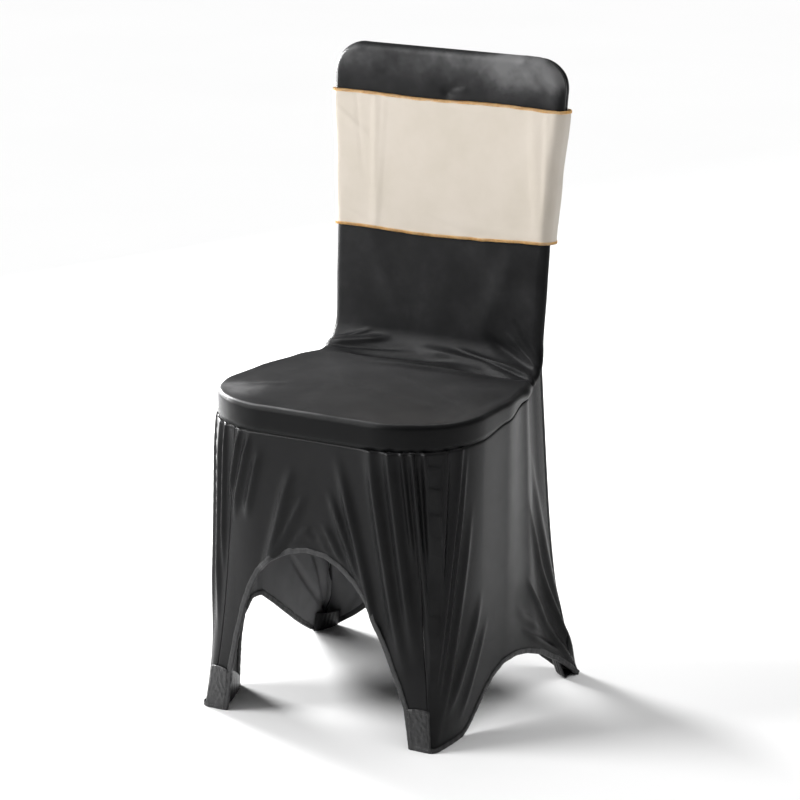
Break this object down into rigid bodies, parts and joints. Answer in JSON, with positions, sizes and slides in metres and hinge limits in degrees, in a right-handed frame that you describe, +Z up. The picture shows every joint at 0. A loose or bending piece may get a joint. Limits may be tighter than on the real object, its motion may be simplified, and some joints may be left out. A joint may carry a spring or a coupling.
{
  "type": "chair cover with sash",
  "caption": "Black stretch chair cover over a banquet chair's shape, with arched hems, foot pockets and an ivory sash band round the backrest.",
  "frame": {"origin": "centre of the cover's box at floor level, under the seat", "axes": "+Z up, -Y towards the front of the seat, +X to the right of a viewer who faces the cover's front"},
  "size_m": [0.4542, 0.4251, 0.9391],
  "materials": {
    "black_cloth": "knitted stretch cloth with a soft sheen",
    "toe_leather": "worn grained leathery patch",
    "ivory_cloth": "fine knitted band, slightly shiny",
    "gold_thread": "overlocked thread"
  },
  "bodies": {
    "root": {"front_panel": "black_cloth", "back_panel": "black_cloth", "skirt_front": "black_cloth", "skirt_left": "black_cloth", "skirt_right": "black_cloth", "pocket_fl": "black_cloth", "pocket_fr": "black_cloth", "pocket_bl": "black_cloth", "pocket_br": "black_cloth", "toe_fl": "toe_leather", "toe_fr": "toe_leather", "sash": "ivory_cloth", "sash_edge_top": "gold_thread", "sash_edge_bottom": "gold_thread"}
  },
  "joints": []
}
